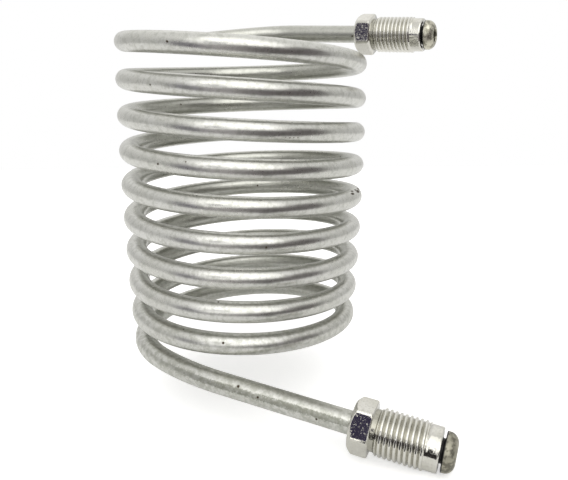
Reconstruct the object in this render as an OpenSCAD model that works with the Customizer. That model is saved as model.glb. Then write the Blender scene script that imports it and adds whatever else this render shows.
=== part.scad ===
// Immersion coil: one metal tube wound into an open left-hand helix, with a straight
// lead at each end. The upper lead runs towards +X and the lower one nearly so, and each
// carries a loose tube nut that is held on by the flared end of the tube.
//
// The coil's axis is Z. The origin is on that axis, level with the lowest point of the
// lower tube nut. All lengths are in millimetres and all angles in degrees.

/* [Tube] */
// Outer diameter of the tube
tube_d = 4.76; // [4:0.01:5]
// Wall thickness of the tube
tube_wall = 0.7; // [0.5:0.05:1]

/* [Coil] */
// Whole turns between the two leads, which a half turn more brings side by side
full_turns = 9; // [4:1:11]
// Radius of the tube's centre line at the top of the coil
coil_r = 28; // [24:0.5:40]
// How much smaller that radius is at the bottom of the coil
coil_draw_in = 2.8; // [0:0.1:4]
// Height from the start of the regular helix to its end, on the centre line
coil_height = 76; // [68:0.5:130]
// How much the rise per turn falls from the top of the coil to its bottom
pitch_change = 1.5; // [0:0.1:2]
// Extra height of the upper lead over the top turn
lead_lift = 2.3; // [1:0.1:6]
// Part of a turn over which that extra height runs out
lift_turns = 0.25; // [0.15:0.01:0.6]

/* [Leads] */
// Straight length of the upper lead, from the coil to its nut
upper_lead_length = 19.8; // [12:0.1:60]
// Slope of the upper lead, down towards its nut
upper_lead_dip = 1.5; // [0:0.1:6]
// Straight length of the lower lead, from its bend to its nut
lower_lead_length = 30; // [10:0.1:80]
// Slope of the lower lead, down towards its nut
lower_lead_dip = 7.7; // [0:0.1:12]
// Turn of the lower lead about Z, out of the upper lead's direction
lower_lead_turn = 5; // [-10:0.5:10]
// Radius of the wider bend where the tube leaves the bottom turn
exit_bend_r = 43; // [30:1:80]
// Angle of that bend
exit_bend_angle = 25; // [12:1:45]

/* [Tube nuts] */
// Hexagon of the nuts, across its flats
hex_af = 10; // [9.8:0.1:12]
// Length of the hexagon
hex_length = 4.2; // [3.5:0.1:8]
// How far the corners of the hexagon are turned down, on the radius
hex_corner_cut = 0.1; // [0.05:0.05:0.4]
// Step from a flat in to the turned face at the tube's side, on the radius
hex_face_step = 0.25; // [0.2:0.05:1.2]
// Diameter of the relief groove behind the hexagon
relief_d = 8.3; // [7.6:0.1:9]
// Width of that groove
relief_width = 1; // [0.4:0.1:1.5]
// Major diameter of the external thread
thread_d = 9.5; // [9.2:0.01:9.7]
// Length of the thread
thread_length = 10.4; // [6:0.1:20]
// Diameter of the plain nose
nose_d = 8.8; // [8:0.1:9.1]
// Length of the plain nose
nose_length = 2.7; // [1:0.1:5]
// Width of the chamfers on the thread and the nose
edge_chamfer = 0.25; // [0.1:0.05:0.6]
// Radial running clearance between the tube and the nut's bore
nut_clearance = 0.08; // [0.05:0.01:0.1]
// How far the upper nut is turned about its lead, from a flat that faces sideways
upper_nut_turn = 4; // [0:1:60]

/* [Flared ends] */
// Diameter of the flared end of the tube
flare_d = 7.8; // [7.4:0.1:8.4]
// Length of the flared end
flare_length = 2.6; // [2.3:0.1:3.2]
// Radius of the rounding from the flare's side to its face
flare_round = 1.9; // [0.8:0.1:2]
// Gap between a nut's nose and the flare that it seats on
nose_gap = 0.6; // [0.2:0.05:1]

/* [Hidden] */
$fn = 96;

STEEL = "#b4b2a6";
ZINC = "#d6d5cd";

tube_r = tube_d / 2;
bore_r = tube_r - tube_wall;

// The upper lead touches the coil on its +Y side. The coil ends where its wider exit
// bend still has to turn by its own angle until it runs as the lower lead does.
START_ANGLE = 90;
wound_turns = full_turns + 0.5 + (lower_lead_turn - exit_bend_angle) / 360;
mean_pitch = coil_height / wound_turns;
pitch_top = mean_pitch + pitch_change / 2;
pitch_bottom = mean_pitch - pitch_change / 2;
coil_r_bottom = coil_r - coil_draw_in;

// Steps of the faceted coil
RINGS_PER_TURN = 24;
SIDES = 6;
BEND_STEPS = 3;
wound_steps = ceil(wound_turns * RINGS_PER_TURN);
// A hexagon of this corner radius has the area of a circle of radius 1
EQUAL_AREA = sqrt(2 * PI / (SIDES * sin(360 / SIDES)));

// The nut's hexagon, which has a corner underneath until it is turned by flat_turn
HEX_SIDES = 6;
flat_turn = 180 / HEX_SIDES;
hex_point_r = hex_af / 2 / cos(180 / HEX_SIDES);

// Stations along a nut and the flare behind it, from the nut's face at the tube's side
hex_corner_r = hex_point_r - hex_corner_cut;
hex_face_r = hex_af / 2 - hex_face_step;
relief_end = hex_length + relief_width;
thread_end = relief_end + thread_length;
nose_end = thread_end + nose_length;
flare_start = nose_end + nose_gap;
flare_end = flare_start + flare_length;

// Directions of the leads
upper_lead_dir = [cos(upper_lead_dip), 0, -sin(upper_lead_dip)];
lower_lead_dir = [cos(lower_lead_turn) * cos(lower_lead_dip),
                  sin(lower_lead_turn) * cos(lower_lead_dip), -sin(lower_lead_dip)];

// ---------------------------------------------------------------- the coil's route

// Radius after n turns: the coil draws in a little, mostly in its lower turns
function coil_radius(n) = coil_r - coil_draw_in * pow(n / wound_turns, 2);

// Height after n turns, below the regular helix's start, with an even change of pitch
function helix_drop(n) = pitch_top * n - pitch_change * n * n / (2 * wound_turns);

// The upper lead's extra height fades out within lift_turns, and starts at the lead's slope
lift_slope = pitch_top + 2 * PI * coil_r * tan(upper_lead_dip);
lift_bulge = 2 + lift_slope * lift_turns / lead_lift;
function lift(n) = let(s = min(n / lift_turns, 1)) lead_lift * pow(1 - s, 2) * (1 + lift_bulge * s);

// Centre line after n turns, with the regular helix starting at height 0
function wound(n) = let(a = START_ANGLE + 360 * n)
    [coil_radius(n) * cos(a), coil_radius(n) * sin(a), lift(n) - helix_drop(n)];

// The exit bend: its heading and its slope change evenly from the coil's to the lead's
end_rise = -(pitch_bottom / (2 * PI * coil_r_bottom));
end_slope = atan(end_rise);
function bend_heading(f) = lower_lead_turn - exit_bend_angle * (1 - f);
function bend_slope(f) = end_slope + (-lower_lead_dip - end_slope) * f;
function bend_dir(f) = [cos(bend_heading(f)) * cos(bend_slope(f)),
                        sin(bend_heading(f)) * cos(bend_slope(f)), sin(bend_slope(f))];
bend_step = exit_bend_r * exit_bend_angle * PI / 180 / BEND_STEPS;
function bend_points(p, i = 0) = i == BEND_STEPS ? []
    : let(q = p + bend_step * bend_dir((i + 0.5) / BEND_STEPS)) concat([q], bend_points(q, i + 1));

wound_points = [for (i = [0 : wound_steps]) wound(wound_turns * i / wound_steps)];
exit_points = bend_points(wound_points[wound_steps]);

// Height of the helix's start that puts the lower nut's lowest point at height 0: the
// far edge of its lowest flat, of its thread or of its nose
nut_edges = [[hex_length, hex_af / 2], [thread_end - edge_chamfer, thread_d / 2],
             [nose_end - edge_chamfer, nose_d / 2]];
nut_drop = max([for (e = nut_edges)
    (lower_lead_length + e[0]) * sin(lower_lead_dip) + e[1] * cos(lower_lead_dip)]);
start_height = nut_drop - exit_points[BEND_STEPS - 1][2];
raised = [0, 0, start_height];

upper_lead_foot = wound_points[0] + raised;
lower_lead_foot = exit_points[BEND_STEPS - 1] + raised;
upper_nut_pos = upper_lead_foot + upper_lead_length * upper_lead_dir;
lower_nut_pos = lower_lead_foot + lower_lead_length * lower_lead_dir;

// Where the nuts sit on their leads, each as a position and its turn into the lead's direction
upper_seat = [upper_nut_pos, [0, 90 + upper_lead_dip, 0]];
lower_seat = [lower_nut_pos, [0, 90 + lower_lead_dip, lower_lead_turn]];

// The whole route of the faceted coil, which runs straight for one tube diameter at each end
route = concat([upper_lead_foot + tube_d * upper_lead_dir],
               [for (p = wound_points) p + raised],
               [for (p = exit_points) p + raised],
               [lower_lead_foot + tube_d * lower_lead_dir]);
last = len(route) - 1;

// Least gap between one turn's surface and the next turn's, measured on the route's points
self_gap = min([for (i = [0 : last]) for (j = [i + RINGS_PER_TURN / 2 : 1 : last])
    norm(route[i] - route[j])]) - tube_d * EQUAL_AREA;
echo(str("least gap between turns: ", self_gap, " mm"));

// ---------------------------------------------------------------- shared shapes

function unit(v) = v / norm(v);

// One ring of corners round the route's point i, square to the route
function ring(i, r) = let(
    ahead = unit(i == 0 ? -upper_lead_dir : i == last ? lower_lead_dir
        : unit(route[i + 1] - route[i]) + unit(route[i] - route[i - 1])),
    side = unit(cross(ahead, [0, 0, 1])),
    up = cross(side, ahead))
    [for (k = [0 : SIDES - 1]) let(a = 360 * k / SIDES) route[i] + r * (cos(a) * side + sin(a) * up)];

// Points of an arc about c, from angle a0 to a1
function arc(c, r, a0, a1, steps = 6) =
    [for (i = [0 : steps]) let(a = a0 + (a1 - a0) * i / steps) c + r * [cos(a), sin(a)]];

// Places a shape that was drawn along Z from its station 0 on a lead
module on_lead(seat) {
    translate(seat[0]) rotate(seat[1]) children();
}

// A hollow faceted tube along the route: outer wall, bore and two ring-shaped ends
module faceted_tube() {
    outer = [for (i = [0 : last]) each ring(i, tube_r * EQUAL_AREA)];
    inner = [for (i = [0 : last]) each ring(i, bore_r * EQUAL_AREA)];
    o = len(outer);
    walls = [for (i = [0 : last - 1]) for (k = [0 : SIDES - 1]) let(
            a = i * SIDES + k, b = i * SIDES + (k + 1) % SIDES, c = a + SIDES, d = b + SIDES)
        each [[a, c, b], [b, c, d], [o + a, o + b, o + c], [o + b, o + d, o + c]]];
    ends = [for (k = [0 : SIDES - 1]) let(
            a = k, b = (k + 1) % SIDES, c = last * SIDES + k, d = last * SIDES + (k + 1) % SIDES)
        each [[a, b, o + a], [b, o + b, o + a], [c, o + c, d], [d, o + c, o + d]]];
    polyhedron(concat(outer, inner), concat(walls, ends));
}

// A straight length of tube with its flared end, from the coil to the flare's round face
module lead(seat, length) {
    shoulder_r = flare_d / 2 - edge_chamfer;
    rounding = [flare_d / 2 - flare_round, flare_end - flare_round];
    on_lead(seat) rotate_extrude() polygon(concat(
        [[bore_r, tube_d - length], [tube_r, tube_d - length], [tube_r, flare_start],
         [shoulder_r, flare_start], [flare_d / 2, flare_start + edge_chamfer]],
        arc(rounding, flare_round, 0, 90),
        [[bore_r, flare_end]]));
}

// A tube nut: hexagon, relief groove, thread at its major diameter, plain nose, and a bore
// that runs on the tube
module tube_nut(seat, turn) {
    nut_bore_r = tube_r + nut_clearance;
    hex_outline = [[0, 0], [hex_face_r, 0], [hex_corner_r, hex_corner_r - hex_face_r],
                   [hex_corner_r, hex_length - edge_chamfer],
                   [hex_corner_r - edge_chamfer, hex_length], [0, hex_length]];
    shank = [[nut_bore_r, hex_length / 2], [relief_d / 2, hex_length / 2],
             [relief_d / 2, relief_end - edge_chamfer], [thread_d / 2, relief_end],
             [thread_d / 2, thread_end - edge_chamfer], [nose_d / 2, thread_end],
             [nose_d / 2, nose_end - edge_chamfer], [nose_d / 2 - edge_chamfer, nose_end],
             [nut_bore_r, nose_end]];
    on_lead(seat) {
        difference() {
            intersection() {
                rotate([0, 0, turn]) cylinder(r = hex_point_r, h = hex_length, $fn = HEX_SIDES);
                rotate_extrude() polygon(hex_outline);
            }
            translate([0, 0, -1]) cylinder(r = nut_bore_r, h = hex_length + 2);
        }
        rotate_extrude() polygon(shank);
    }
}

// ---------------------------------------------------------------- sub-parts

// The wound part of the tube, with its exit bend
module coil() {
    color(STEEL) faceted_tube();
}

// The straight upper end of the tube, with its flare
module upper_lead() {
    color(STEEL) lead(upper_seat, upper_lead_length);
}

// The straight lower end of the tube, with its flare
module lower_lead() {
    color(STEEL) lead(lower_seat, lower_lead_length);
}

// The nut on the upper lead, with a flat of its hexagon to the side
module upper_tube_nut() {
    color(ZINC) tube_nut(upper_seat, -upper_nut_turn);
}

// The nut on the lower lead, with a flat of its hexagon underneath
module lower_tube_nut() {
    color(ZINC) tube_nut(lower_seat, flat_turn);
}

coil();
upper_lead();
lower_lead();
upper_tube_nut();
lower_tube_nut();
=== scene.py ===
# An immersion coil: one bent metal tube with a loose tube nut on each end.
# The frame's origin is on the coil's axis, level with the lowest point of the lower nut. +Z runs
# up the axis, and the upper lead runs towards +X. Sizes are in mm until a mesh is made of them.
import math

import bpy
import numpy as np
from mathutils import Matrix


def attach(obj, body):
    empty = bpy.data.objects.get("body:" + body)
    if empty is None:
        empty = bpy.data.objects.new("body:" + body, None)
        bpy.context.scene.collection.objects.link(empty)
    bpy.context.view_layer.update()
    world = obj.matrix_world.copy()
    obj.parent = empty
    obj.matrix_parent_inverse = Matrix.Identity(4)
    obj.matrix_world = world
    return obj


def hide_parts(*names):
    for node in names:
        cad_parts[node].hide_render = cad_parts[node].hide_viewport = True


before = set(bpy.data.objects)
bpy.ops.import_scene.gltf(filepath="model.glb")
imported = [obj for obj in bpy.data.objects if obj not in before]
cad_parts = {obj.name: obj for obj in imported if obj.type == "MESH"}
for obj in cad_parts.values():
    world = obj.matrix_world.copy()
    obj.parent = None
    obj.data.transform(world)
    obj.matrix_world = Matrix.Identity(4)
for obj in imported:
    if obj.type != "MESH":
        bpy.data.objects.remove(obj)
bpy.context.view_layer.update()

# ---------------------------------------------------------------- The tube
# One length of thin steel tube, wound into an open left-hand helix on a mandrel and
# zinc plated. It leaves the coil in two straight leads, and each end is pressed into
# a round flare over its nut.

MM = 0.001
TUBE_R = 2.38
BORE_R = 1.68
FULL_TURNS = 9
COIL_R = 28.0
DRAW_IN = 2.8
COIL_HEIGHT = 76.0
PITCH_CHANGE = 1.5
LEAD_LIFT = 2.3
LIFT_TURNS = 0.25
UPPER_LEAD = 19.8
UPPER_DIP = math.radians(1.5)
LOWER_LEAD = 30.0
LOWER_DIP = math.radians(7.7)
LOWER_TURN = math.radians(5)
BEND_R = 43.0
BEND_ANGLE = math.radians(25)
START_HEIGHT = 88.4883

TURNS = FULL_TURNS + 0.5 + (LOWER_TURN - BEND_ANGLE) / (2 * math.pi)
PITCH_TOP = COIL_HEIGHT / TURNS + PITCH_CHANGE / 2
PITCH_BOTTOM = PITCH_TOP - PITCH_CHANGE

# Stations along each nut and the flare behind it, from the nut's face at the tube's side
HEX_END = 4.2
THREAD_START = 5.2
THREAD_END = 15.6
NOSE_END = 18.3
FLARE_START = 18.9
FLARE_END = 21.5

# A flare's radius, the roundings at its foot, its back and its end, and the one of the bore's rim
FLARE_R = 3.9
FOOT_ROUND = 0.25
BACK_ROUND = 0.12
END_ROUND = 2.0
RIM_ROUND = 0.25

# The straight parts are drawn from behind a flare's foot to a little short of the coil
BEHIND_FLARE = 3.2
SHORT_OF_COIL = 0.8
IN_BORE = np.array([[0.3], [1.5]])

WOUND_RINGS = 1300
BEND_RINGS = 30
CAD_BEND_STEPS = 3
TUBE_COLUMNS = 40


def unit(v):
    """Vectors scaled to length 1 along the last axis."""
    return v / np.linalg.norm(v, axis=-1, keepdims=True)


def lead_axes(dip, turn):
    """A lead's direction and the directions down from it and sideways: +X, -Z and +Y, tilted
    down by the dip and turned about Z."""
    outward = [math.cos(turn) * math.cos(dip), math.sin(turn) * math.cos(dip), -math.sin(dip)]
    down = [-math.cos(turn) * math.sin(dip), -math.sin(turn) * math.sin(dip), -math.cos(dip)]
    return np.array(outward), np.array(down), np.array([-math.sin(turn), math.cos(turn), 0.0])


def helix(n):
    """Centre line after n turns: the radius shrinks with the square of n, the height falls with
    an evenly changing pitch, and the upper lead's extra height fades out in part of a turn."""
    radius = COIL_R - DRAW_IN * (n / TURNS) ** 2
    drop = PITCH_TOP * n - PITCH_CHANGE * n * n / (2 * TURNS)
    s = np.minimum(n / LIFT_TURNS, 1)
    slope = PITCH_TOP + 2 * np.pi * COIL_R * math.tan(UPPER_DIP)
    lift = LEAD_LIFT * (1 - s) ** 2 * (1 + (2 + slope * LIFT_TURNS / LEAD_LIFT) * s)
    angle = np.pi / 2 + 2 * np.pi * n
    height = START_HEIGHT + lift - drop
    return np.stack([radius * np.cos(angle), radius * np.sin(angle), height], axis=-1)


def exit_bend(start, steps):
    """The wider bend out of the bottom turn: heading and slope change evenly from the helix's to
    the lead's, and each step goes on in the direction at its middle."""
    f = (np.arange(steps) + 0.5) / steps
    heading = LOWER_TURN - BEND_ANGLE * (1 - f)
    slope0 = -math.atan(PITCH_BOTTOM / (2 * math.pi * (COIL_R - DRAW_IN)))
    slope = slope0 + (-LOWER_DIP - slope0) * f
    step = BEND_R * BEND_ANGLE / steps
    ahead = [np.cos(heading) * np.cos(slope), np.sin(heading) * np.cos(slope), np.sin(slope)]
    return start + step * np.cumsum(np.stack(ahead, axis=-1), axis=0)


# The lower lead starts where the CAD part's bend ends, which has fewer steps than this one
UPPER_DIR = lead_axes(UPPER_DIP, 0)[0]
LOWER_DIR = lead_axes(LOWER_DIP, LOWER_TURN)[0]
upper_foot = helix(np.array([0.0]))[0]
wound = helix(np.linspace(0, TURNS, WOUND_RINGS))
lower_foot = exit_bend(wound[-1], CAD_BEND_STEPS)[-1]
bend = exit_bend(wound[-1], BEND_RINGS)
bend += (lower_foot - bend[-1]) * np.linspace(0, 1, BEND_RINGS)[:, None]
UPPER_NUT = upper_foot + UPPER_LEAD * UPPER_DIR
LOWER_NUT = lower_foot + LOWER_LEAD * LOWER_DIR


def flare_profile():
    """Distance back from the flare's face and radius, from the straight tube to the rim of the
    bore: a fillet, the square back with its rounded edge, a short barrel and a wide rounding
    down to the bore."""
    back = FLARE_END - FLARE_START
    a = np.linspace(0, np.pi / 2, 16)[:, None]
    sine, cosine = np.sin(a), np.cos(a)
    foot = np.hstack([back + FOOT_ROUND - FOOT_ROUND * sine,
                      TUBE_R + FOOT_ROUND - FOOT_ROUND * cosine])
    heel = np.hstack([back - BACK_ROUND + BACK_ROUND * cosine,
                      FLARE_R - BACK_ROUND + BACK_ROUND * sine])
    end = np.hstack([END_ROUND - END_ROUND * sine, FLARE_R - END_ROUND + END_ROUND * cosine])
    rim = np.hstack([RIM_ROUND - RIM_ROUND * cosine, BORE_R + RIM_ROUND - RIM_ROUND * sine])
    return np.concatenate([foot, heel, end, rim])


def looped_mesh(name, points):
    """A mesh of rings by columns of points in mm. Each point joins the next ring and the next
    column, and both ways close on themselves."""
    rings, columns, _ = points.shape
    i, j = np.meshgrid(np.arange(rings), np.arange(columns), indexing="ij")
    next_i, next_j = (i + 1) % rings, (j + 1) % columns
    faces = np.stack([i * columns + j, i * columns + next_j,
                      next_i * columns + next_j, next_i * columns + j], axis=-1)
    mesh = bpy.data.meshes.new(name)
    mesh.vertices.add(rings * columns)
    mesh.vertices.foreach_set("co", (points * MM).reshape(-1).astype(np.float32))
    mesh.loops.add(faces.size)
    mesh.loops.foreach_set("vertex_index", faces.reshape(-1).astype(np.int32))
    mesh.polygons.add(rings * columns)
    mesh.polygons.foreach_set("loop_start", np.arange(0, faces.size, 4, dtype=np.int32))
    mesh.polygons.foreach_set("use_smooth", np.ones(rings * columns, dtype=bool))
    mesh.update(calc_edges=True)
    mesh.validate()
    piece = bpy.data.objects.new(name, mesh)
    bpy.context.scene.collection.objects.link(piece)
    return piece


def swept(name, centres, ahead, radii, around):
    """A closed tube wall: ring i has points centre + radius * (cos(a) * side + sin(a) * up),
    square to the path there. The rings run out along the outer wall and back along the bore, and
    meet again."""
    side = unit(np.cross(ahead, [0.0, 0.0, 1.0]))
    up = np.cross(side, ahead)
    a = np.linspace(0, 2 * np.pi, around, endpoint=False)
    points = centres[:, None] + radii[:, None, None] * (
        np.cos(a)[None, :, None] * side[:, None] + np.sin(a)[None, :, None] * up[:, None])
    return looped_mesh(name, points)


def along(*runs):
    """Points of runs of points, one after the other, and the distance of each from the first."""
    points = np.concatenate(runs)
    gaps = np.linalg.norm(np.diff(points, axis=0), axis=1)
    return points, np.concatenate([[0], np.cumsum(gaps)])


def headings(points, first, last):
    """Directions of a path at its points: central differences, with both ends given."""
    ahead = np.empty_like(points)
    ahead[1:-1] = points[2:] - points[:-2]
    ahead[0], ahead[-1] = first, last
    return unit(ahead)


def lay_out(piece, run, radius, angle):
    """Gives each point its distance along the piece and its place round it, for marks that
    follow its making."""
    drawn = np.broadcast_arrays(run, radius * np.cos(angle), radius * np.sin(angle))
    drawn = np.stack(drawn, axis=-1) * MM
    lay = piece.data.attributes.new("drawn", "FLOAT_VECTOR", "POINT")
    lay.data.foreach_set("vector", drawn.reshape(-1).astype(np.float32))


flare = flare_profile()
upper_face = UPPER_NUT + FLARE_END * UPPER_DIR
lower_face = LOWER_NUT + FLARE_END * LOWER_DIR
upper_back = np.linspace(BEHIND_FLARE, UPPER_LEAD + FLARE_END - SHORT_OF_COIL, 28)[:, None]
lower_back = np.linspace(LOWER_LEAD + FLARE_END - SHORT_OF_COIL, BEHIND_FLARE, 40)[:, None]
upper_straight = upper_face - upper_back * UPPER_DIR
lower_straight = lower_face - lower_back * LOWER_DIR
outer, distance = along(upper_face - flare[::-1, :1] * UPPER_DIR, upper_straight, wound, bend,
                        lower_straight, lower_face - flare[:, :1] * LOWER_DIR)
inner, inner_distance = along(upper_face - IN_BORE * UPPER_DIR, upper_straight[::2],
                              wound[::2], bend[::2], lower_straight[::2],
                              lower_face - IN_BORE[::-1] * LOWER_DIR)
inner, inner_distance = inner[::-1], inner_distance[::-1]

outer_r = np.full(len(outer), TUBE_R)
outer_r[:len(flare)] = flare[::-1, 1]
outer_r[-len(flare):] = flare[:, 1]
wall_r = np.concatenate([outer_r, np.full(len(inner), BORE_R)])

between_flares = headings(outer[len(flare):-len(flare)], -UPPER_DIR, LOWER_DIR)
outer_ahead = np.concatenate([np.tile(-UPPER_DIR, (len(flare), 1)), between_flares,
                              np.tile(LOWER_DIR, (len(flare), 1))])
inner_ahead = -headings(inner, -LOWER_DIR, UPPER_DIR)
tube = swept("tube", np.concatenate([outer, inner]), np.concatenate([outer_ahead, inner_ahead]),
             wall_r, TUBE_COLUMNS)
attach(tube, "tube")
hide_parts("coil", "upper_lead", "lower_lead")

wall_run = np.concatenate([distance, distance[-1] - (inner_distance[0] - inner_distance)])
lay_out(tube, wall_run[:, None], wall_r[:, None],
        np.linspace(0, 2 * np.pi, TUBE_COLUMNS, endpoint=False))


class Wire:
    """An output of a shader tree. + - * on it add Math nodes, and node() adds any other node."""

    def __init__(self, tree, socket=None):
        self.tree = tree
        self.socket = socket

    def node(self, kind, settings=None, inputs=None, output=0):
        """A node of that type, with its settings and the values or links of its sockets."""
        made = self.tree.nodes.new("ShaderNode" + kind)
        for name, value in (settings or {}).items():
            setattr(made, name, value)
        for name, value in (inputs or {}).items():
            if isinstance(value, Wire):
                self.tree.links.new(value.socket, made.inputs[name])
            else:
                made.inputs[name].default_value = value
        return Wire(self.tree, made.outputs[output] if len(made.outputs) else None)

    def maths(self, operation, a, b):
        return self.node("Math", {"operation": operation}, {0: a, 1: b})

    def __add__(self, other):
        return self.maths("ADD", self, other)

    __radd__ = __add__

    def __mul__(self, other):
        return self.maths("MULTIPLY", self, other)

    __rmul__ = __mul__

    def __sub__(self, other):
        return self.maths("SUBTRACT", self, other)

    def __rsub__(self, other):
        return self.maths("SUBTRACT", other, self)

    def above(self, low, high):
        """0 below low, 1 above high, and smooth between them."""
        return self.node("MapRange", {"interpolation_type": "SMOOTHSTEP"},
                         {"Value": self, "From Min": low, "From Max": high})

    def mixed(self, a, b):
        """Colour a where this is 0 and colour b where it is 1."""
        return self.node("Mix", {"data_type": "RGBA"}, {0: self, 6: a, 7: b}, output=2)

    def noise(self, scale, detail, roughness):
        """Noise over these coordinates, with about scale lumps to the metre."""
        return self.node("TexNoise", {}, {"Vector": self, "Scale": scale, "Detail": detail,
                                          "Roughness": roughness})

    def toward(self, direction):
        """How far these coordinates reach in a direction."""
        return self.node("VectorMath", {"operation": "DOT_PRODUCT"},
                         {0: self, 1: tuple(direction)}, output="Value")

    def distance(self, point):
        """How far these coordinates are from a point."""
        return self.node("VectorMath", {"operation": "DISTANCE"},
                         {0: self, 1: tuple(point)}, output="Value")

    def times(self, factors):
        """These coordinates, each multiplied by a factor of its own."""
        return self.node("Mapping", {}, {"Vector": self, "Scale": tuple(factors)})


def shade(name):
    """A new material with an empty tree, as a Wire to add nodes with."""
    material = bpy.data.materials.new(name)
    material.use_nodes = True
    material.node_tree.nodes.clear()
    return material, Wire(material.node_tree)


def coat(piece, material):
    """The material on the whole piece."""
    piece.data.materials.clear()
    piece.data.materials.append(material)


# Specks and pits in the plating: the distance along the tube, the place round it across and up,
# and the width, all in mm, and how many times longer than wide each is
SPECKS = [(130.1, 2.36, 0.0, 0.45, 1), (301.5, 2.33, -0.37, 0.5, 1), (652.4, 2.36, 0.0, 0.5, 1),
          (658.7, 2.1, 1.07, 0.4, 1), (504.1, 2.1, -1.07, 0.3, 1), (505.0, 2.1, -1.13, 0.35, 1),
          (505.8, 2.1, -1.1, 0.3, 1), (506.7, 2.1, -1.07, 0.35, 1), (873.4, 1.07, 2.1, 0.55, 3),
          (872.1, 1.67, 1.67, 0.7, 3), (876.3, 1.19, 2.06, 0.6, 3), (880.2, 1.39, 1.91, 0.7, 4),
          (877.1, 1.67, 1.67, 0.9, 4), (1507.6, 2.1, 1.07, 0.55, 1), (1672.8, 1.8, 1.55, 0.75, 1),
          (1677.7, 2.24, 0.73, 0.5, 1), (1691.1, 2.36, 0.0, 0.5, 1)]

# Colours of the plating: clean, what dulls it, painted shade on the turns' inner side, a painted
# dark reflection on the lower lead, the pressed flares from the upper to the lower one, painted
# shade in the gaps at the nuts, and the pits
ZINC, PALE_ZINC = (0.63, 0.63, 0.59, 1), (0.68, 0.68, 0.65, 1)
MOTTLED, GRAINY = (0.50, 0.505, 0.465, 1), (0.45, 0.44, 0.385, 1)
INNER_SIDE_SHADE, WORN_END, DARK_REFLECTION = (0.38, 0.385, 0.335, 1), (0.42, 0.425, 0.37, 1), (0.27, 0.275, 0.23, 1)
PALE_FLARES = (0.62, 0.60, 0.50, 1), (0.40, 0.385, 0.31, 1)
DARK_FLARES = (0.29, 0.28, 0.225, 1), (0.185, 0.177, 0.142, 1)
GAP_SHADE, PIT = (0.03, 0.03, 0.03, 1), (0.09, 0.07, 0.05, 1)
BUMP_DEPTH = 0.05 * MM

satin_zinc, t = shade("satin_zinc")
place = t.node("TexCoord", output="Object")
lay = t.node("Attribute", {"attribute_name": "drawn"}, output="Vector")
run = t.node("SeparateXYZ", {}, {0: lay}, output="X")
# Painted shade: the side of the turns that faces the coil's axis is darker. The lower end is duller
shaded_inner_side = 1 - t.node("SeparateXYZ", {}, {0: lay}, output="Y").above(-0.0016, 0.0004)
worn = run.above(1.30, 1.66)
draw_marks = lay.times((60.0, 2600.0, 2600.0)).noise(1.0, 3.0, 0.55)
cloud = place.noise(95.0, 3.0, 0.6)
mottle = place.noise(900.0, 3.0, 0.65)
grain = place.noise(2600.0, 2.0, 0.6)
# A pit sits in the middle of some of the cells of a loose pattern, and specks at chosen places
cells = {"Vector": place, "Scale": 210.0}
in_cell = t.node("TexVoronoi", {}, cells, output="Distance")
chance = t.node("SeparateColor", {}, {0: t.node("TexVoronoi", {}, cells, output="Color")})
pits = (1 - in_cell.above(0.035, 0.075)) * chance.above(0.72, 0.76)
for at, across, up, width, longer in SPECKS:
    centre = (at * MM / longer, across * MM, up * MM)
    gap = lay.times((1 / longer, 1.0, 1.0)).distance(centre) + 0.0004 * (mottle - 0.5)
    pits = pits.maths("MAXIMUM", pits, 1 - gap.above(0.3 * width * MM, 0.6 * width * MM))
# The flares are pressed after plating, and are duller than the rest, the lower one most
to_end = run.maths("MINIMUM", run, distance[-1] * MM - run)
pressed = 1 - to_end.above(0.0026, 0.0031)
# Painted shade on the tube in the narrow gap between each nut's nose and its flare
painted_gap_shade = (1 - to_end.above(0.0034, 0.0038)) * to_end.above(0.0025, 0.0027)
tint = cloud.above(0.35, 0.68).mixed(ZINC, PALE_ZINC)
tint = (mottle.above(0.46, 0.64) * 0.75).mixed(tint, MOTTLED)
tint = (grain.above(0.5, 0.75) * 0.35).mixed(tint, GRAINY)
# Painted shade on the inner side of the turns
tint = (shaded_inner_side * 0.45).mixed(tint, INNER_SIDE_SHADE)
tint = (worn * mottle.above(0.35, 0.6) * 0.5).mixed(tint, WORN_END)
# Painted dark reflection: a dark, rougher band along the lower lead, 20 degrees up from its outer
# side
painted_reflection_band = lay.toward((0.0, 0.940, 0.342)) + 0.0002 * (draw_marks - 0.5) + 0.0003 * (grain - 0.5)
painted_reflection_band = painted_reflection_band.above(0.00226, 0.00234) * run.above(1.640, 1.672)
tint = (painted_reflection_band * (0.35 + 0.9 * mottle)).mixed(tint, DARK_REFLECTION)
pale_flare = run.above(0.1, 0.2).mixed(*PALE_FLARES)
dark_flare = run.above(0.1, 0.2).mixed(*DARK_FLARES)
tint = pressed.mixed(tint, mottle.above(0.42, 0.60).mixed(pale_flare, dark_flare))
# Painted shade in the gaps at the nuts
tint = painted_gap_shade.mixed(tint, GAP_SHADE)
tint = pits.mixed(tint, PIT)
rough = 0.30 + 0.10 * (cloud - 0.5) + 0.12 * (mottle - 0.5) + 0.10 * (grain - 0.5)
rough = rough + 0.3 * pits + 0.07 * pressed + 0.05 * worn + 0.08 * painted_reflection_band
height = 0.5 * draw_marks + 0.6 * grain + 2.2 * mottle - 1.5 * pits
skin = t.node("Bump", {}, {"Strength": 0.22, "Distance": BUMP_DEPTH, "Height": height})
surface = t.node("BsdfPrincipled", {}, {"Base Color": tint, "Metallic": 1.0,
                                        "Roughness": rough, "Normal": skin})
t.node("OutputMaterial", {}, {"Surface": surface})
coat(tube, satin_zinc)

# ---------------------------------------------------------------- The tube nuts
# A turned steel nut with a hexagon for a spanner, a relief groove, a fine thread and
# a plain nose. It is threaded on before the tube is flared, so that it stays on the tube,
# turns freely and is bright zinc plated.

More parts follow.
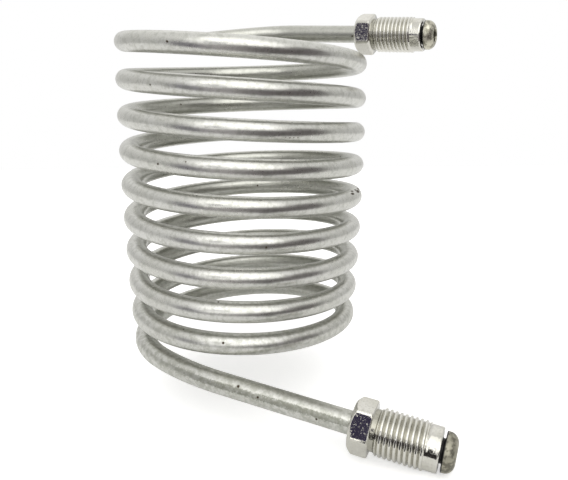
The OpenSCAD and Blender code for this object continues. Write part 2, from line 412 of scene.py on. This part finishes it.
HEX_FLAT_R = 5.0
HEX_CORNER_R = 5.67
HEX_FACE_R = 4.75
HEX_BACK_CUT = 0.35
HEX_CUT_ROUND = 0.15
RELIEF_R = 4.15
CREST_R = 4.75
THREAD_PITCH = 1.058
THREAD_DEPTH = 0.46
THREAD_LEAD_IN = 0.65
THREAD_RUN_OUT = 0.1
NOSE_R = 4.4
NOSE_OVERLAP = 0.5
NOSE_EDGE_SLOPE = 0.4
CHAMFER = 0.25
NUT_BORE_R = 2.46
NUT_COLUMNS = 192
THREAD_STEP = 0.05


def softer(a, b, width):
    """The smaller of a and b, rounded over where they are closer than width."""
    h = np.clip(0.5 + (b - a) / (2 * width), 0, 1)
    return b + (a - b) * h - width * h * (1 - h)


def hexagon(a, turn):
    """Distance from the axis to the hexagon's flats at angle a, with rounded corners."""
    across = np.cos(a[..., None] - turn - np.radians([0, 60, 120, 180, 240, 300]))
    return HEX_FLAT_R / np.sum(np.clip(across, 0, None) ** 50, axis=-1) ** (1 / 50)


def nut_radius(s, a, turn):
    """Radius of the nut's outside at station s and angle a: the hexagon, cut back by a cone on
    each side, then the groove, then a right-hand thread with rounded crests and roots between
    two chamfers, then the nose."""
    head = softer(hexagon(a, turn), HEX_CORNER_R, HEX_CUT_ROUND)
    head = softer(head, HEX_FACE_R + s, 0.12)
    head = softer(head, HEX_CORNER_R + HEX_CUT_ROUND + (HEX_END - HEX_BACK_CUT - s), 0.1)
    phase = (s - THREAD_START) / THREAD_PITCH - a / (2 * np.pi)
    tooth = CREST_R - THREAD_DEPTH * (0.5 + 0.5 * np.cos(2 * np.pi * phase)) ** 2
    tooth = softer(tooth, CREST_R + (s - THREAD_START - THREAD_LEAD_IN), 0.05)
    tooth = softer(tooth, CREST_R + (THREAD_END - THREAD_RUN_OUT - s), 0.05)
    tooth = np.maximum(tooth, RELIEF_R)
    edge = NOSE_R + (NOSE_END - CHAMFER - s) * NOSE_EDGE_SLOPE
    nose = softer(np.full_like(s, NOSE_R), edge, 0.02)
    body = np.where(s < THREAD_END, tooth, nose)
    run_out = np.maximum(body, np.minimum(nose, NOSE_R))
    body = np.where(s >= THREAD_END - NOSE_OVERLAP, run_out, body)
    body = np.where(s < THREAD_START, RELIEF_R, body)
    return np.where(s <= HEX_END, head, body)


def tube_nut(name, foot, axes, turn, columns=NUT_COLUMNS):
    """The nut's outside as stations by angles, closed by its end faces and its bore. The point
    at station s, radius r and angle a is foot + s * outward + r * (cos(a) * down + sin(a) *
    sideways), so angle 0 points down."""
    outward, down, sideways = axes
    stations = np.concatenate([
        np.linspace(0, 1.8, 26), np.linspace(1.9, HEX_END - 0.5, 6),
        np.linspace(HEX_END - 0.45, HEX_END, 12), [HEX_END + 1e-4],
        np.linspace(HEX_END + 0.2, THREAD_START, 4),
        np.arange(THREAD_START + THREAD_STEP, THREAD_END + 0.02, THREAD_STEP),
        np.linspace(THREAD_END + 0.1, NOSE_END - 0.5, 6),
        np.linspace(NOSE_END - 0.45, NOSE_END, 10)])
    a = np.linspace(0, 2 * np.pi, columns, endpoint=False)
    s, angle = np.meshgrid(stations, a, indexing="ij")
    r = nut_radius(s, angle, turn)
    bore_s = np.array([NOSE_END, NOSE_END - CHAMFER, 12.0, 6.0, CHAMFER, 0.0])
    bore_r = NUT_BORE_R + np.array([CHAMFER, 0.0, 0.0, 0.0, 0.0, CHAMFER])
    s = np.concatenate([s, np.repeat(bore_s[:, None], columns, axis=1)])
    r = np.concatenate([r, np.repeat(bore_r[:, None], columns, axis=1)])
    angle = np.concatenate([angle, np.repeat(a[None], len(bore_s), axis=0)])
    points = foot + s[..., None] * outward + r[..., None] * (
        np.cos(angle)[..., None] * down + np.sin(angle)[..., None] * sideways)
    made = looped_mesh(name, points)
    lay_out(made, s, r, angle)
    return made


# Colours of the bright plating: clean, flecked, on the thread and at the thread's roots
BRIGHT, PALE_BRIGHT = (0.63, 0.62, 0.56, 1), (0.72, 0.71, 0.66, 1)
FLECKED, ON_THREAD, IN_ROOTS = (0.46, 0.44, 0.40, 1), (0.76, 0.75, 0.70, 1), (0.26, 0.25, 0.19, 1)

bright_zinc, t = shade("bright_zinc")
place = t.node("TexCoord", output="Object")
lay = t.node("Attribute", {"attribute_name": "drawn"}, output="Vector")
station = t.node("SeparateXYZ", {}, {0: lay}, output="X")
from_axis = lay.times((0.0, 1.0, 1.0))
from_axis = t.node("VectorMath", {"operation": "LENGTH"}, {0: from_axis}, output="Value")
cloud = place.noise(260.0, 3.0, 0.6)
fleck = place.noise(2300.0, 2.0, 0.7)
specks = fleck.above(0.58, 0.68)
# Darker, rougher plating in the groove and at the roots of the thread
on_thread = station.above(0.0041, 0.0043) * (1 - station.above(0.0152, 0.0154))
roots = on_thread * (1 - from_axis.above(0.00430, 0.00444))
tint = cloud.above(0.35, 0.7).mixed(BRIGHT, PALE_BRIGHT)
tint = (fleck.above(0.50, 0.70) * 0.4).mixed(tint, FLECKED)
tint = (on_thread * 0.5).mixed(tint, ON_THREAD)
tint = (roots * 0.65).mixed(tint, IN_ROOTS)
rough = 0.08 + 0.06 * (cloud - 0.5) + 0.18 * specks + 0.10 * roots
height = 0.1 * specks + fleck
skin = t.node("Bump", {}, {"Strength": 0.3, "Distance": BUMP_DEPTH, "Height": height})
surface = t.node("BsdfPrincipled", {}, {"Base Color": tint, "Metallic": 1.0,
                                        "Roughness": rough, "Normal": skin})
t.node("OutputMaterial", {}, {"Surface": surface})

for body, foot, axes, turn in (
        ("upper_nut", UPPER_NUT, lead_axes(UPPER_DIP, 0), math.radians(26)),
        ("lower_nut", LOWER_NUT, lead_axes(LOWER_DIP, LOWER_TURN), 0.0)):
    nut = tube_nut(body + "_threaded", foot, axes, turn)
    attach(nut, body)
    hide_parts(("upper" if body == "upper_nut" else "lower") + "_tube_nut")
    coat(nut, bright_zinc)

# ---------------------------------------------------------------- Floor, light and camera
# A sheet of white paper on a dark table, in soft light from above and in front, with
# dark cards that the metal reflects. None of it is part of the object.

# Level directions: towards the camera's side, across it, to the soft box, to the middle of the
# room's dark side and to the door
FRONT = unit(np.array([0.521, -0.853, 0.0]))
ASIDE = np.array([-FRONT[1], FRONT[0], 0.0])
BOX = unit(np.array([0.462, -0.887, 0.0]))
MIDDLE = unit(np.array([0.643, -0.766, 0.0]))
DOOR = unit(np.array([1.0, -0.035, 0.0]))

# The paper's reach in mm, its colour, and its glow where it is seen and in the metal
PAPER_FRONT, PAPER_FAR, PAPER_SIDE = 82, -420, 420
PAPER = (0.80, 0.80, 0.80, 1)
GLOW, GLOW_IN_METAL = 0.50, 0.1155
WHITE = (1, 1, 1, 1)

# Plain cards that only reflections show: a person's dark coat, head and raised arm to the left
# of the camera, and a small black flag in front of the lower nut. Corners are in mm
CARDS = {
    "coat": ((0.145, 0.135, 0.17, 1),
             [(-165, -270, -170), (-38, -300, -170), (-42, -300, 105), (-165, -270, 115)]),
    "head": ((0.055, 0.048, 0.085, 1),
             [(-122, -283, 138), (-72, -283, 138), (-72, -283, 190), (-122, -283, 190)]),
    "flag": ((0.03, 0.027, 0.028, 1),
             [(42, -42, 0.3), (59, -42, 0.3), (59, -50, 16.5), (42, -50, 13.5)]),
    "arm": ((0.045, 0.038, 0.080, 1),
            [(-2, -305, 112), (75, -305, 112), (75, -305, 208), (-2, -305, 208)])}

# The camera: its place in mm, its focal length and optical centre in pixels of a picture that is
# WIDTH by HEIGHT, and its heading to the left of +Y, its downward pitch and its roll
CAMERA_PLACE = np.array([81.576, -133.663, 74.853])
FOCAL, CENTRE_X, CENTRE_Y = 609.616, 355.428, 165.718
WIDTH, HEIGHT = 568, 480
HEADING, PITCH, ROLL = -0.36888, 0.12342, 0.01507
SENSOR = 36.0


def sheet_of(name, corners):
    """A single flat face with those corners, in mm."""
    mesh = bpy.data.meshes.new(name)
    corners = [tuple(np.array(c) * MM) for c in corners]
    mesh.from_pydata(corners, [], [tuple(range(len(corners)))])
    made = bpy.data.objects.new(name, mesh)
    bpy.context.scene.collection.objects.link(made)
    return made


# The paper ends a little in front of the object, and its edge isn't seen against the white world
near, far, half = PAPER_FRONT * FRONT, PAPER_FAR * FRONT, PAPER_SIDE * ASIDE
paper = sheet_of("paper", [near - half, near + half, far + half, far - half])
white_paper, t = shade("white_paper")
seen = t.node("LightPath", output="Is Camera Ray")
gleam = t.node("LightPath", output="Is Glossy Ray")
plain = t.node("BsdfDiffuse", {}, {"Color": PAPER})
glow = GLOW * seen + GLOW_IN_METAL * gleam
glow = t.node("Emission", {}, {"Color": WHITE, "Strength": glow})
t.node("OutputMaterial", {}, {"Surface": t.node("AddShader", {}, {0: plain, 1: glow})})
coat(paper, white_paper)

for name, (colour, corners) in CARDS.items():
    card = sheet_of(name, corners)
    cloth, t = shade("cloth_of_" + name)
    glow = t.node("Emission", {}, {"Color": colour, "Strength": 1.0})
    t.node("OutputMaterial", {}, {"Surface": glow})
    card.visible_camera = False
    card.visible_diffuse = False
    card.visible_shadow = False
    coat(card, cloth)

# The room as the metal reflects it. Each side is 1 in its direction, 0 square to it and -1
# opposite, at any height
world = bpy.data.worlds.new("studio")
bpy.context.scene.world = world
world.use_nodes = True
world.node_tree.nodes.clear()
t = Wire(world.node_tree)
seen = t.node("LightPath", output="Is Camera Ray")
way = t.node("TexCoord", output="Generated")
height = t.node("SeparateXYZ", {}, {0: way}, output="Z")
flat = height.maths("SQRT", 1 - height * height, 0.0)
front_side, box_side, middle_side, door_side = (
    t.maths("DIVIDE", way.toward(v), flat) for v in (FRONT, BOX, MIDDLE, DOOR))
# The soft box stands higher towards the door and is dimmer overhead
soft_box = (height - 0.26 * door_side).above(-0.05, 0.07) * box_side.above(0.636, 0.80)
soft_box = soft_box * (1 - 0.5 * height.above(0.80, 1.0))
# The dark side of the room stands higher towards the door, and the door highest
edge = height - 0.36 * door_side - 0.28 * door_side.above(0.90, 0.97)
horizon = (1 - edge.above(-0.175, -0.065)) * middle_side.above(0.25, 0.45)
level = 0.63 + 0.27 * height.above(0.1, 0.75) + 0.18 * (1 - front_side.above(-0.95, -0.55))
level = level + 1.1 * soft_box
lit = t.node("VectorMath", {"operation": "SCALE"}, {0: (1.0, 0.995, 0.98), "Scale": level})
dark = door_side.above(0.1, 0.85).mixed((0.45, 0.425, 0.435, 1), (0.115, 0.10, 0.105, 1))
room = t.node("Background", {}, {"Color": horizon.mixed(lit, dark), "Strength": 1.0})
white = t.node("Background", {}, {"Color": WHITE, "Strength": 1.0})
surface = t.node("MixShader", {}, {0: seen, 1: room, 2: white})
t.node("OutputWorld", {}, {"Surface": surface})

camera_data = bpy.data.cameras.new("camera")
camera = bpy.data.objects.new("camera", camera_data)
bpy.context.scene.collection.objects.link(camera)
bpy.context.scene.camera = camera
level_x, level_y = math.sin(HEADING), math.cos(HEADING)
ahead = np.array([level_x * math.cos(PITCH), level_y * math.cos(PITCH), -math.sin(PITCH)])
right = np.array([level_y, -level_x, 0.0])
up = np.cross(right, ahead)
right, up = (right * math.cos(ROLL) + up * math.sin(ROLL),
             up * math.cos(ROLL) - right * math.sin(ROLL))
columns = np.column_stack([right, up, -ahead, CAMERA_PLACE * MM])
camera.matrix_world = Matrix(np.vstack([columns, [0, 0, 0, 1]]).tolist())
camera_data.sensor_width = SENSOR
camera_data.lens = SENSOR * FOCAL / WIDTH
camera_data.shift_x = (WIDTH / 2 - CENTRE_X) / WIDTH
camera_data.shift_y = (CENTRE_Y - HEIGHT / 2) / WIDTH
camera_data.clip_start = 0.005
bpy.context.scene.view_settings.view_transform = "Standard"
